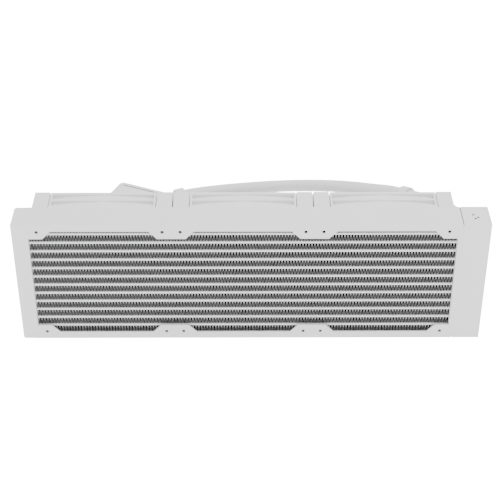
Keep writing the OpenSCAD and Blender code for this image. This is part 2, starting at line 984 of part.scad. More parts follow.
// Screw sleeve and the web that ties it to the duct, on one corner
module fan_boss(grow, z0, z1) {
    c = fan_size / 2 - screw_inset;
    web_w = 6 + 2 * grow;
    translate([c, c, z0])
        cylinder(r = boss_r + grow, h = z1 - z0);
    rotate([0, 0, 45])
        translate([duct_r - 1, -web_w / 2, z0])
            cube([norm([c, c]) - screw_bore_r - duct_r + 0.5, web_w, z1 - z0]);
}

module fan_frame(i) {
    c = fan_size / 2 - screw_inset;
    color(white_plastic)
        at_fan(i)
            difference() {
                union() {
                    difference() {
                        union() {
                            fan_plate(frame_recess, flange_t);
                            fan_plate((fan_t - rib_t) / 2, rib_t);
                            fan_plate(fan_t - frame_recess - flange_t, flange_t);
                            fan_walls();
                            translate([0, 0, frame_recess / 2])
                                cylinder(r = duct_r, h = fan_t - frame_recess, $fn = fine);
                            for (a = [0 : 90 : 270])
                                rotate([0, 0, a])
                                    fan_boss(0, frame_recess / 2, fan_t - frame_recess / 2);
                        }
                        translate([0, 0, -1])
                            cylinder(r = duct_bore_r, h = fan_t + 2, $fn = fine);
                    }
                    translate([0, 0, hub_base_z])
                        cylinder(r = hub_r, h = hub_base_t);
                    translate([0, 0, hub_base_z])
                        cylinder(r = tube_boss_r, h = sleeve_l);
                    for (a = [20 : 90 : 290])
                        rotate([0, 0, a])
                            translate([hub_r - 2, -strut_w / 2, hub_base_z])
                                cube([duct_bore_r - hub_r + 2.6, strut_w, hub_base_t]);
                }
                translate([0, 0, hub_base_z + 2])
                    cylinder(r = bearing_r + braze, h = sleeve_l);
                for (x = [-c, c], y = [-c, c])
                    translate([x, y, -1])
                        cylinder(r = screw_bore_r, h = fan_t + 2);
            }
}

module fan_corner_pads() {
    color([0.86, 0.86, 0.87])
        for (i = [1 : fan_count])
            at_fan(i)
                for (a = [0 : 90 : 270])
                    rotate([0, 0, a])
                        difference() {
                            translate([fan_size / 2 - pad_w, fan_size / 2 - pad_w, 0])
                                cube([pad_w - pad_inset, pad_w - pad_inset, fan_t]);
                            fan_boss(braze, -1, fan_t + 1);
                            translate([0, 0, -1])
                                cylinder(r = duct_r + braze, h = fan_t + 2, $fn = fine);
                        }
}

module fan_bearing(i) {
    color([0.7, 0.6, 0.3])
        at_fan(i)
            ring(bearing_r, shaft_r + play, hub_base_z + 3, hub_base_z + 3 + bearing_l);
}

module fan_shaft(i) {
    color(bare_metal)
        at_fan(i)
            cylinder_between(shaft_r, hub_base_z + 3.6, cup_top_z - 1.4);
}

module fan_stator(i) {
    teeth = 4;
    z0 = 6.4;
    z1 = 14;
    color([0.55, 0.35, 0.2])
        at_fan(i) {
            ring(7.5, tube_boss_r + braze, z0, z1);
            for (k = [0 : teeth - 1])
                rotate([0, 0, 360 * k / teeth]) {
                    translate([6.8, -1.8, z0 + 2])
                        cube([7.4, 3.6, z1 - z0 - 4]);
                    intersection() {
                        ring(stator_r, stator_r - 1.6, z0 + 1, z1 - 1);
                        translate([10, -6, z0])
                            cube([10, 12, z1 - z0]);
                    }
                }
        }
}

module fan_circuit_board(i) {
    color(board_green)
        at_fan(i)
            ring(stator_r, tube_boss_r + braze, hub_base_z + hub_base_t + braze, cup_z + 0.2);
}

module fan_magnet(i) {
    cup_bore_r = hub_r - cup_wall;
    color(dark_steel)
        at_fan(i)
            ring(cup_bore_r - braze, cup_bore_r - magnet_t, cup_z + 0.6, cup_top_z - 4);
}

// Hub cup with pitched blades, cut to length between hub and duct
module fan_wheel(i) {
    mid_z = (cup_z + cup_top_z) / 2;
    blade_t = 1.6;
    color(white_plastic)
        at_fan(i)
            difference() {
                union() {
                    cylinder_between(hub_r, cup_z, cup_top_z);
                    intersection() {
                        for (k = [0 : blade_count - 1])
                            rotate([0, 0, 360 * k / blade_count])
                                translate([hub_r - 1, 0, mid_z])
                                    rotate([blade_pitch, 0, 0])
                                        translate([0, -blade_chord / 2, -blade_t / 2])
                                            cube([wheel_r, blade_chord, blade_t]);
                        cylinder_between(wheel_r, cup_z, cup_top_z);
                    }
                }
                difference() {
                    cylinder_between(hub_r - cup_wall, cup_z - 1, cup_top_z - 2);
                    cylinder_between(4, cup_top_z - 5, cup_top_z);
                }
                cylinder_between(shaft_r + braze, cup_z, cup_top_z - 1.3);
            }
}

module fan_screws() {
    c = fan_size / 2 - screw_inset;
    color(dark_steel)
        for (i = [1 : fan_count])
            at_fan(i)
                for (x = [-c, c], y = [-c, c])
                    translate([x, y, fan_t])
                        difference() {
                            union() {
                                cylinder(r = screw_head_r, h = screw_head_h);
                                translate([0, 0, -screw_l])
                                    cylinder(r = screw_r, h = screw_l + 1);
                            }
                            translate([0, 0, screw_head_h - 1.2])
                                cylinder(r = 1.2, h = 2, $fn = 6);
                        }
}

// ---- pieces by name ----

top_side_channel();
bottom_side_channel();
core_side_plates();
flat_tubes();
cooling_fins();
left_header();
right_header();
left_tank();
right_tank();
tank_baffle();
relief_bladder();
fill_plug();
fill_plug_seal();
upper_tank_fitting();
lower_tank_fitting();
hose_ferrules();
upper_hose();
lower_hose();
tank_hose_clip();
pump_hose_clip();
pump_housing();
pump_cap();
pump_top_panel();
pump_light_ring();
cold_plate();
cold_plate_seal();
cold_plate_screws();
cpu_bracket();
pump_outer_fitting();
pump_inner_fitting();
rotor_can();
pump_stator();
pump_circuit_board();
pump_shaft();
pump_impeller();
pump_magnet();
fan_corner_pads();
fan_screws();
for (i = [1 : fan_count]) {
    fan_frame(i);
    fan_bearing(i);
    fan_stator(i);
    fan_circuit_board(i);
    fan_shaft(i);
    fan_wheel(i);
    fan_magnet(i);
}
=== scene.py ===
import math

import bmesh
import bpy
import numpy as np
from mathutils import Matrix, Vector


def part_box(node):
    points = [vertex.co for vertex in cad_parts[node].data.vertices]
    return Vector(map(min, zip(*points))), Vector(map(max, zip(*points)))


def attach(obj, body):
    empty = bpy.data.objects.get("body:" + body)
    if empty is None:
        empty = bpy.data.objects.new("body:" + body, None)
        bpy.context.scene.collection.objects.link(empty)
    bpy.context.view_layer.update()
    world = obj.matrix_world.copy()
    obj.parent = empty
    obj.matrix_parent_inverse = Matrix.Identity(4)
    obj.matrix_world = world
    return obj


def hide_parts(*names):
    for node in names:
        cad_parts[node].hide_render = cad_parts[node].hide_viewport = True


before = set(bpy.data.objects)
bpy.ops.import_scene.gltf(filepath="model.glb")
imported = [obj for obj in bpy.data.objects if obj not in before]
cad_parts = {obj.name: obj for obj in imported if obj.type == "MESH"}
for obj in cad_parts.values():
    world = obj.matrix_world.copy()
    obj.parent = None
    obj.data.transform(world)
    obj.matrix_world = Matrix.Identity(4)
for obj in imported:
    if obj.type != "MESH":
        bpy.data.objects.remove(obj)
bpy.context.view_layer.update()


# ---- Camera ----
# A long lens, a little over a metre away, looks down on the radiator's front face.
lens = bpy.data.cameras.new("camera")
lens.lens = 93.33
lens.sensor_width = 36
camera = bpy.data.objects.new("camera", lens)
camera.location = (0.00464, -0.90867, 0.71776)
camera.rotation_euler = (math.radians(55.15), math.radians(0.053), math.radians(-0.113))
bpy.context.scene.collection.objects.link(camera)
bpy.context.scene.camera = camera


# ---- Hoses ----
# Two rubber hoses under tight braided sleeves. Each leaves a ferrule on the tank, sweeps round
# behind the fans and ends in a ferrule on the pump block.
hose_d = 0.012
upper_route = [
    (0.1945, 0.033, 0.077), (0.1945, 0.045, 0.077), (0.194, 0.058, 0.0765),
    (0.1915, 0.071, 0.0749), (0.187, 0.084, 0.0723), (0.181, 0.098, 0.0686),
    (0.1735, 0.111, 0.0636), (0.1645, 0.123, 0.0589), (0.1545, 0.134, 0.0552),
    (0.141, 0.147, 0.051), (0.125, 0.1595, 0.0455), (0.107, 0.171, 0.0408),
    (0.087, 0.1805, 0.0365), (0.065, 0.188, 0.0323), (0.043, 0.1925, 0.0292),
    (0.02, 0.194, 0.027), (-0.002, 0.1938, 0.0253), (-0.024, 0.1922, 0.024),
    (-0.042, 0.1898, 0.023), (-0.053, 0.1877, 0.0224), (-0.0638, 0.1844, 0.022),
    (-0.0752, 0.1782, 0.022), (-0.0842, 0.1695, 0.022), (-0.0906, 0.159, 0.022),
]
lower_route = [
    (0.1945, 0.033, 0.043), (0.1945, 0.045, 0.043), (0.1935, 0.057, 0.043),
    (0.19, 0.07, 0.043), (0.1845, 0.083, 0.043), (0.1765, 0.0965, 0.0428),
    (0.1655, 0.1105, 0.0424), (0.1515, 0.125, 0.0415), (0.138, 0.1365, 0.039),
    (0.1215, 0.1475, 0.0355), (0.103, 0.157, 0.032), (0.083, 0.165, 0.029),
    (0.062, 0.171, 0.0265), (0.04, 0.175, 0.0245), (0.018, 0.1775, 0.0225),
    (-0.002, 0.1788, 0.021), (-0.02, 0.1787, 0.0205), (-0.0356, 0.1765, 0.0208),
    (-0.0466, 0.1723, 0.0213), (-0.0563, 0.1657, 0.0218), (-0.0634, 0.158, 0.022),
    (-0.0687, 0.1492, 0.022),
]
sleeve_strands = 16
sleeve_pitch = 0.0026
sleeve_relief = 0.00022
sleeve_sides = 80
ring_spacing = 0.00075


def smooth_route(points, spacing):
    """A cubic between each two route points that leaves each point along the line through its
    neighbours, sampled at even steps of arc length."""
    p = np.array(points)
    chord = np.linalg.norm(np.diff(p, axis=0), axis=1)
    knot = np.concatenate([[0], np.cumsum(chord)])
    slope = np.gradient(p, knot, axis=0)
    samples_per_point = 40
    t = np.linspace(0, knot[-1], samples_per_point * len(p))
    i = np.clip(np.searchsorted(knot, t, side="right") - 1, 0, len(p) - 2)
    h = chord[i][:, None]
    u = ((t - knot[i]) / chord[i])[:, None]
    dense = (
        (1 + 2 * u) * (1 - u) ** 2 * p[i] + u * (1 - u) ** 2 * h * slope[i]
        + u * u * (3 - 2 * u) * p[i + 1] + u * u * (u - 1) * h * slope[i + 1]
    )
    arc = np.concatenate([[0], np.cumsum(np.linalg.norm(np.diff(dense, axis=0), axis=1))])
    even = np.linspace(0, arc[-1], round(arc[-1] / spacing) + 1)
    return np.stack([np.interp(even, arc, dense[:, k]) for k in range(3)], axis=1)


def grid_quads(rows, columns, loop_rows=False, loop_columns=False):
    """Corner numbers of the quads of a rows x columns grid of points. A looped direction joins
    its last line of points to its first."""
    r = np.arange(rows if loop_rows else rows - 1)[:, None]
    c = np.arange(columns if loop_columns else columns - 1)[None, :]
    next_r = (r + 1) % rows
    next_c = (c + 1) % columns
    corners = [
        r * columns + c, r * columns + next_c, next_r * columns + next_c, next_r * columns + c
    ]
    return np.stack(np.broadcast_arrays(*corners), axis=-1).reshape(-1, 4)


def tube_shell(rings):
    """A closed shell over a rows x columns x 3 array of rings: quads between neighbouring rings
    and one flat face over each end."""
    rows, columns = rings.shape[:2]
    faces = grid_quads(rows, columns, loop_columns=True).tolist()
    faces.append(list(range(columns))[::-1])
    faces.append(list(range((rows - 1) * columns, rows * columns)))
    return rings.reshape(-1, 3), faces


def joined(shells):
    """Several shells, each points and faces, as the points and faces of one mesh."""
    points, faces, start = [], [], 0
    for shell_points, shell_faces in shells:
        points.append(shell_points)
        faces.extend([[corner + start for corner in face] for face in shell_faces])
        start += len(shell_points)
    return np.concatenate(points), faces


same_point = 1e-7


def make_piece(name, shell, material, smooth_angle=40):
    """A mesh object from points and faces: doubles merged, faces turned outwards, and shading
    smooth except across edges sharper than the angle given in degrees."""
    points, faces = shell
    mesh = bpy.data.meshes.new(name)
    mesh.from_pydata(points.tolist(), [], faces)
    bm = bmesh.new()
    bm.from_mesh(mesh)
    bmesh.ops.remove_doubles(bm, verts=bm.verts, dist=same_point)
    bmesh.ops.recalc_face_normals(bm, faces=bm.faces)
    bm.to_mesh(mesh)
    bm.free()
    mesh.materials.append(material)
    mesh.shade_smooth()
    mesh.set_sharp_from_angle(angle=math.radians(smooth_angle))
    piece = bpy.data.objects.new(name, mesh)
    bpy.context.scene.collection.objects.link(piece)
    return piece


def new_material(name, colour, roughness, metallic=0.0):
    """A principled material with its even values set, and its node tree, shader and object
    coordinates for the section to work on."""
    material = bpy.data.materials.new(name)
    material.use_nodes = True
    tree = material.node_tree
    shader = tree.nodes["Principled BSDF"]
    shader.inputs["Base Color"].default_value = (*colour, 1)
    shader.inputs["Roughness"].default_value = roughness
    shader.inputs["Metallic"].default_value = metallic
    coordinates = tree.nodes.new("ShaderNodeTexCoord")
    return material, tree, shader, coordinates


def noise(tree, vector, size, detail=2.0):
    """Noise whose patches are about size across, in the units of the vector."""
    texture = tree.nodes.new("ShaderNodeTexNoise")
    texture.inputs["Scale"].default_value = 1 / size
    texture.inputs["Detail"].default_value = detail
    tree.links.new(vector, texture.inputs["Vector"])
    return texture.outputs["Fac"]


def bump(tree, shader, height, depth, strength=1.0):
    """Pushes the shading normal as if the surface stood depth metres high where height is 1."""
    relief = tree.nodes.new("ShaderNodeBump")
    relief.inputs["Distance"].default_value = depth
    relief.inputs["Strength"].default_value = strength
    tree.links.new(height, relief.inputs["Height"])
    tree.links.new(relief.outputs["Normal"], shader.inputs["Normal"])


def spread(tree, value, low, high, socket, value_low=0.3, value_high=0.7):
    """Feeds a socket with low to high as value goes from value_low to value_high."""
    span = tree.nodes.new("ShaderNodeMapRange")
    span.inputs["From Min"].default_value = value_low
    span.inputs["From Max"].default_value = value_high
    span.inputs["To Min"].default_value = low
    span.inputs["To Max"].default_value = high
    tree.links.new(value, span.inputs["Value"])
    tree.links.new(span.outputs["Result"], socket)


def shade_between(tree, shader, value, dark, light):
    """Base colour from dark to light as value goes from 0 to 1."""
    mix = tree.nodes.new("ShaderNodeMix")
    mix.data_type = "RGBA"
    mix.inputs["A"].default_value = (*dark, 1)
    mix.inputs["B"].default_value = (*light, 1)
    tree.links.new(value, mix.inputs["Factor"])
    tree.links.new(mix.outputs["Result"], shader.inputs["Base Color"])


def sleeve_material():
    """White braid: gaps low in the weave get a painted shade, and threads run across the strands.
    """
    material, tree, shader, coordinates = new_material("braided_sleeve", (0.7, 0.7, 0.71), 0.6)
    weave = tree.nodes.new("ShaderNodeAttribute")
    weave.attribute_name = "weave"
    # Painted shade: the colour darkens where the weave is low, in the gaps between strands.
    shade_between(tree, shader, weave.outputs["Fac"], (0.6, 0.6, 0.615), (0.76, 0.76, 0.77))
    spread(tree, weave.outputs["Fac"], 0.75, 0.5, shader.inputs["Roughness"], 0, 1)
    thread_w, thread_relief = 0.00035, 0.00006
    threads = noise(tree, coordinates.outputs["Object"], thread_w)
    bump(tree, shader, threads, thread_relief)
    shader.inputs["Sheen Weight"].default_value = 0.15
    return material


def sleeved_hose(name, route, material):
    """A tube of the hose's radius along the smooth route. Its surface rises and falls as the
    product of two sines, one along each of the braid's two crossing spirals."""
    line = smooth_route(route, ring_spacing)
    ahead = np.gradient(line, axis=0)
    ahead /= np.linalg.norm(ahead, axis=1, keepdims=True)
    side = np.cross(ahead, (0, 0, 1))
    side /= np.linalg.norm(side, axis=1, keepdims=True)
    up = np.cross(side, ahead)
    length = np.linalg.norm(np.diff(line, axis=0), axis=1).sum()
    along = np.linspace(0, 1, len(line))[:, None] * length
    turn = np.linspace(0, 2 * math.pi, sleeve_sides, endpoint=False)[None, :]
    spiral_a = sleeve_strands * turn / 2 + math.pi * along / sleeve_pitch
    spiral_b = sleeve_strands * turn / 2 - math.pi * along / sleeve_pitch
    weave = 0.5 + 0.5 * np.sin(spiral_a) * np.sin(spiral_b)
    radius = hose_d / 2 - sleeve_relief * (1 - weave)
    across = np.cos(turn)[..., None] * side[:, None] + np.sin(turn)[..., None] * up[:, None]
    rings = line[:, None] + radius[..., None] * across
    hose = make_piece(name, tube_shell(rings), material)
    height = hose.data.attributes.new("weave", "FLOAT", "POINT")
    height.data.foreach_set("value", weave.reshape(-1).astype(np.float32))
    return hose, line


sleeve = sleeve_material()
upper_hose, upper_line = sleeved_hose("sleeved_hose_upper", upper_route, sleeve)
lower_hose, lower_line = sleeved_hose("sleeved_hose_lower", lower_route, sleeve)
for hose, node in ((upper_hose, "upper_hose"), (lower_hose, "lower_hose")):
    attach(hose, "cooler_body")
    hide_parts(node)


# ---- Hose clips ----
# Two rings of white plastic with a web between them. Each snaps over both hoses and keeps them
# side by side, one near the tank's side and one near the pump block.
def plastic_material(name, colour, roughness=0.42, grain=0.0005, depth=0.00002):
    """Moulded plastic: fine texture from the mould, and a slow drift of gloss over the piece."""
    material, tree, shader, coordinates = new_material(name, colour, roughness)
    place = coordinates.outputs["Object"]
    gloss_patch, tone_patch = 0.02, 0.035
    bump(tree, shader, noise(tree, place, grain), depth)
    gloss = noise(tree, place, gloss_patch)
    spread(tree, gloss, roughness - 0.05, roughness + 0.07, shader.inputs["Roughness"])
    darker = tuple(0.96 * c for c in colour)
    shade_between(tree, shader, noise(tree, place, tone_patch, 1.0), darker, colour)
    return material


same_cad_point = 1e-6
flat_within = math.radians(0.5)
sharp_from = math.radians(40)
rounded_from = math.radians(32)


def rounded_copy(name, node, material, edge, segments=2):
    """The CAD node's own shape with its loose triangles merged and its sharp edges rounded."""
    mesh = bpy.data.meshes.new(name)
    bm = bmesh.new()
    bm.from_mesh(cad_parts[node].data)
    bmesh.ops.remove_doubles(bm, verts=bm.verts, dist=same_cad_point)
    bmesh.ops.dissolve_limit(
        bm, angle_limit=flat_within, verts=bm.verts, edges=bm.edges, delimit={"NORMAL"}
    )
    bm.to_mesh(mesh)
    bm.free()
    mesh.materials.clear()
    mesh.materials.append(material)
    mesh.shade_smooth()
    mesh.set_sharp_from_angle(angle=sharp_from)
    piece = bpy.data.objects.new(name, mesh)
    bpy.context.scene.collection.objects.link(piece)
    rounding = piece.modifiers.new("rounded_edges", "BEVEL")
    rounding.width = edge
    rounding.segments = segments
    rounding.limit_method = "ANGLE"
    rounding.angle_limit = rounded_from
    rounding.harden_normals = True
    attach(piece, "cooler_body")
    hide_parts(node)
    return piece


clip_plastic = plastic_material("clip_plastic", (0.72, 0.72, 0.73))
hose_clips = [
    rounded_copy(f"snap_clip_{place}", f"{place}_hose_clip", clip_plastic, 0.0005, 3)
    for place in ("tank", "pump")
]


# ---- Side channels ----
# Two aluminium sheets folded to a C close the core above and below. Their lips are cut deeper at
# the corners and between the fans, where the threaded holes are, and are powder coated white.
def powder_coat_material(name, colour, roughness=0.5):
    """Powder coat: a fine orange peel, with a slow drift of tone where the coat is thicker."""
    material, tree, shader, coordinates = new_material(name, colour, roughness)
    place = coordinates.outputs["Object"]
    peel_size, peel_depth = 0.0006, 0.00003
    gloss_patch, tone_patch = 0.012, 0.05
    bump(tree, shader, noise(tree, place, peel_size, 3.0), peel_depth)
    gloss = noise(tree, place, gloss_patch)
    spread(tree, gloss, roughness - 0.06, roughness + 0.06, shader.inputs["Roughness"])
    darker = tuple(0.965 * c for c in colour)
    shade_between(tree, shader, noise(tree, place, tone_patch, 1.0), darker, colour)
    # Painted shade: faces marked in the mesh turn near black, as shade in grooves and holes.
    paint_shade_by(tree, shader, "painted_recess_shade", (0.03, 0.03, 0.03))
    return material


def paint_shade_by(tree, shader, attribute, dark):
    """Paints shade: the base colour turns dark where the mesh's attribute is 1, and stays where 0.
    """
    coat = shader.inputs["Base Color"].links[0].from_socket
    where = tree.nodes.new("ShaderNodeAttribute")
    where.attribute_name = attribute
    mix = tree.nodes.new("ShaderNodeMix")
    mix.data_type = "RGBA"
    tree.links.new(coat, mix.inputs["A"])
    mix.inputs["B"].default_value = (*dark, 1)
    tree.links.new(where.outputs["Fac"], mix.inputs["Factor"])
    tree.links.new(mix.outputs["Result"], shader.inputs["Base Color"])


def bend_edges(piece, widest, share_at):
    """Rounds each sharp edge by its own share of the widest radius, from its middle and ends."""
    mesh = piece.data
    weights = mesh.attributes.new("bevel_weight_edge", "FLOAT", "EDGE")
    for edge in mesh.edges:
        if edge.use_edge_sharp:
            ends = [np.array(mesh.vertices[v].co) for v in edge.vertices]
            weights.data[edge.index].value = share_at(*ends)
    rounding = piece.modifiers["rounded_edges"]
    rounding.limit_method = "WEIGHT"
    rounding.width = widest


white_coat = powder_coat_material("white_powder_coat", (0.76, 0.76, 0.775))
touching = 1e-5
channel_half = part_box("top_side_channel")[1][1] - touching
radiator_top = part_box("top_side_channel")[1][2]
fold_r = 0.001
shortest_fold = 0.02
cut_edge_share = 0.3


def fold_share(a, b):
    """The two long folds of a channel have a wide bend, and the cut edges a narrow one."""
    outer = min(abs(a[1]), abs(b[1])) > channel_half
    half_h = radiator_top / 2
    end = min(abs(a[2] - half_h), abs(b[2] - half_h)) > half_h - touching
    return 1.0 if outer and end and abs(a[0] - b[0]) > shortest_fold else cut_edge_share


for side in ("top", "bottom"):
    channel = rounded_copy(f"folded_channel_{side}", f"{side}_side_channel", white_coat, fold_r, 3)
    bend_edges(channel, fold_r, fold_share)


# ---- Core: flat tubes ----
# Extruded aluminium tubes, 2 mm thick with round edges, carry the coolant from tank to tank.
# They are brazed into the header plates at both ends.
def stadium(width, height, arc_points=10):
    """Outline of a flat tube: two straight sides joined by two half circles."""
    a = np.linspace(-math.pi / 2, math.pi / 2, arc_points)
    half = (width - height) / 2
    right = np.stack([half + height / 2 * np.cos(a), height / 2 * np.sin(a)], axis=1)
    return np.concatenate([right, -right])


def at_pitch(points, faces, offsets):
    """The same shell repeated at each offset, as one shell."""
    return joined([(points + np.array(offset), faces) for offset in offsets])


tube_low, tube_high = (np.array(c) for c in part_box("flat_tubes"))
tube_count = 12
tube_t = 0.002
nose_reach = 0.0025


def coated_and_lit_share(tree, place, half_depth, reach):
    """1 at the core's two faces, falling to 0 at reach behind them."""
    parts = tree.nodes.new("ShaderNodeSeparateXYZ")
    tree.links.new(place, parts.inputs["Vector"])
    depth = tree.nodes.new("ShaderNodeMath")
    depth.operation = "ABSOLUTE"
    tree.links.new(parts.outputs["Y"], depth.inputs[0])
    share = tree.nodes.new("ShaderNodeMapRange")
    share.interpolation_type = "SMOOTHSTEP"
    share.inputs["From Min"].default_value = half_depth - reach
    share.inputs["From Max"].default_value = half_depth - 0.0001
    tree.links.new(depth.outputs["Value"], share.inputs["Value"])
    return share.outputs["Result"]


def tube_material(half_depth):
    """Flat tube: white on its round nose, where the spray lands, and metal greyed by painted shade
    further in.
    """
    material, tree, shader, coordinates = new_material("flat_tube_coat_and_shade", (0.8, 0.8, 0.8), 0.5)
    place = coordinates.outputs["Object"]
    coated_and_lit = coated_and_lit_share(tree, place, half_depth, nose_reach)
    # Painted shade: further into the core the tube turns dark grey, darker than bare metal.
    shade_between(tree, shader, coated_and_lit, (0.16, 0.16, 0.163), (0.9, 0.9, 0.91))
    bump(tree, shader, noise(tree, place, 0.0006), 0.00002)
    return material


tube_pitch = (tube_high[2] - tube_low[2] - tube_t) / (tube_count - 1)
tube_outline = stadium(tube_high[1] - tube_low[1], tube_t)
tube_ends = np.array([tube_low[0], tube_high[0]])
tube_rings = np.empty((2, len(tube_outline), 3))
tube_rings[..., 0] = tube_ends[:, None]
tube_rings[..., 1:] = tube_outline
tube_points, tube_faces = tube_shell(tube_rings)
first_tube_z = tube_low[2] + tube_t / 2
tube_places = [(0, 0, first_tube_z + k * tube_pitch) for k in range(tube_count)]
flat_tubes = make_piece(
    "extruded_tubes", at_pitch(tube_points, tube_faces, tube_places), tube_material(tube_high[1])
)
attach(flat_tubes, "cooler_body")
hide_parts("flat_tubes")


# ---- Core: louvred fins ----
# Thin aluminium strip folded to a zigzag fills each row between two tubes, and is brazed to them
# at every crest. Rows of louvres are cut across each fold and turn the air a little.
fin_low, fin_high = (np.array(c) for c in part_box("cooling_fins"))
fin_fold = 0.0025
fin_sheet = 0.0002
louvre_pitch = 0.0017
louvre_lift = 0.00012
braze_gap = 0.00003
edge_reach = 0.0012
crest_reach = 0.0008
crest_from, crest_fade = 0.6, 0.3


def fin_material():
    """Thin aluminium strip. The coat that the spray lays on the core's two faces thins out just
    behind the edges; deeper in, painted shade turns the bare metal near black. Near the faces
    the crests are white, paint at the braze and partly a painted highlight."""
    material, tree, shader, coordinates = new_material("fin_strip", (0.3, 0.3, 0.31), 0.5)
    place = coordinates.outputs["Object"]
    # Painted shade: deeper in the core the strip turns near black, much darker than bare metal;
    # near the faces it keeps the coat's grey.
    coated_and_lit = coated_and_lit_share(tree, place, fin_high[1], edge_reach)
    shade_between(tree, shader, coated_and_lit, (0.025, 0.025, 0.026), (0.25, 0.25, 0.255))
    metal = shader.inputs["Base Color"].links[0].from_socket
    # Crests near the faces turn white: paint at the braze, and partly a painted highlight.
    crest = tree.nodes.new("ShaderNodeAttribute")
    crest.attribute_name = "crest"
    crest_paint_and_highlight = tree.nodes.new("ShaderNodeMath")
    crest_paint_and_highlight.operation = "MULTIPLY"
    tree.links.new(crest.outputs["Fac"], crest_paint_and_highlight.inputs[0])
    tree.links.new(coated_and_lit_share(tree, place, fin_high[1], crest_reach), crest_paint_and_highlight.inputs[1])
    shade_between(tree, shader, crest_paint_and_highlight.outputs["Value"], (0, 0, 0), (0.9, 0.9, 0.91))
    tree.links.new(metal, shader.inputs["Base Color"].links[0].from_node.inputs["A"])
    bump(tree, shader, noise(tree, place, 0.0008), 0.00001)
    return material


def folded_strip(low, high):
    """A strip folded along X. Its height is the arcsine of a sine, a zigzag with round crests,
    cut off flat where the crests are brazed. Across its depth it waves to and fro as louvres,
    most at mid height and not at the crests."""
    folds = round((high[0] - low[0]) / fin_fold)
    per_fold = 12
    phase = np.linspace(0, folds * 2 * math.pi, folds * per_fold + 1)
    sharpness = 0.95
    overshoot = 1.15
    height = np.clip(overshoot * np.arcsin(sharpness * np.sin(phase)) / math.asin(sharpness), -1, 1)
    x = np.linspace(low[0] + fin_sheet, high[0] - fin_sheet, len(phase))
    z = (low[2] + high[2]) / 2 + height * (high[2] - low[2] - fin_sheet) / 2
    lean = np.stack([-np.gradient(z), np.gradient(x)], axis=1)
    lean /= np.linalg.norm(lean, axis=1, keepdims=True)
    depth = np.linspace(low[1], high[1], 2 * round((high[1] - low[1]) / louvre_pitch / 2) + 1)
    wave = np.where(np.arange(len(depth)) % 2 == 0, -1.0, 1.0)
    wave[[0, -1]] = 0
    steepness = 1.4
    lift = louvre_lift * np.clip(steepness * (1 - height ** 2), 0, 1)
    bottom = wave[None] * lift[:, None] - fin_sheet / 2
    sheet = np.concatenate([bottom, bottom[:, ::-1] + fin_sheet], axis=1)
    y = np.concatenate([depth, depth[::-1]])
    rings = np.empty((len(phase), len(y), 3))
    rings[..., 0] = x[:, None] + lean[:, :1] * sheet
    rings[..., 1] = y[None]
    rings[..., 2] = np.clip(z[:, None] + lean[:, 1:] * sheet, low[2], high[2])
    return tube_shell(rings)


fin_strip = fin_material()
fin_rows = tube_count + 1
fin_rise = tube_pitch - tube_t - 2 * braze_gap
for row in range(fin_rows):
    row_low = np.array([fin_low[0], fin_low[1], fin_low[2] + row * tube_pitch])
    row_high = np.array([fin_high[0], fin_high[1], row_low[2] + fin_rise])
    fins = make_piece(f"louvred_fins_row_{row + 1}", folded_strip(row_low, row_high), fin_strip)
    z = np.array([vertex.co.z for vertex in fins.data.vertices])
    from_middle = abs(2 * (z - row_low[2]) / fin_rise - 1)
    crest_share = np.clip((from_middle - crest_from) / crest_fade, 0, 1)
    crest = fins.data.attributes.new("crest", "FLOAT", "POINT")
    crest.data.foreach_set("value", crest_share.astype(np.float32))
    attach(fins, "cooler_body")
    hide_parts("cooling_fins")

side_plates = rounded_copy("core_end_plates", "core_side_plates", white_coat, 0.0002)


# ---- Headers and tanks ----
# A slotted header plate takes the tube ends on each side. A drawn tank is brazed onto each plate,
# a short blind one on the left and a wide one with the hose fittings on the right.
for side in ("left", "right"):
    plate = rounded_copy(f"slotted_header_{side}", f"{side}_header", white_coat, 0.0004, 3)
tank_ends = (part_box("left_tank")[0][0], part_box("right_tank")[1][0])
tank_corner_r = 0.002
small_edge = 0.003
# The boxes that hold the seam's groove and the vents; faces inside them get a near black painted
# shade.
seam_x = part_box("right_header")[1][0]
seam_low = np.array((seam_x - 0.00005, -1, radiator_top - 0.00095))
seam_high = np.array((seam_x + 0.0008, 1, radiator_top - 0.00005))
vent_low = np.array((tank_ends[1] - 0.0175, -0.0075, radiator_top - 0.0025))
vent_high = np.array((tank_ends[1] - 0.008, 0.004, radiator_top - 0.0002))


def tank_share(a, b):
    """A tank is drawn with round corners at its outer end, and has fine edges elsewhere."""
    at_end = min(min(abs(p[0] - end) for end in tank_ends) < touching for p in (a, b))
    at_top = abs(a[2] - radiator_top) < small_edge
    small = at_top and abs(a[0] - b[0]) < small_edge and abs(a[1] - b[1]) < small_edge
    return 1.0 if at_end else 0.05 if small else 0.15


for name, node in (("blind_tank", "left_tank"), ("port_tank", "right_tank")):
    tank = rounded_copy(name, node, white_coat, tank_corner_r, 4)
    bend_edges(tank, tank_corner_r, tank_share)
    # Faces in the seam's groove and in the vents are marked for a near black painted shade.
    painted_recess_shade = tank.data.attributes.new("painted_recess_shade", "FLOAT", "FACE")
    for face in tank.data.polygons:
        middle = np.array(face.center)
        mirrored = np.array((middle[0], middle[1], max(middle[2], radiator_top - middle[2])))
        in_seam = ((mirrored > seam_low) & (mirrored < seam_high)).all()
        in_vent = ((middle > vent_low) & (middle < vent_high)).all()
        painted_recess_shade.data[face.index].value = float(in_seam or in_vent)


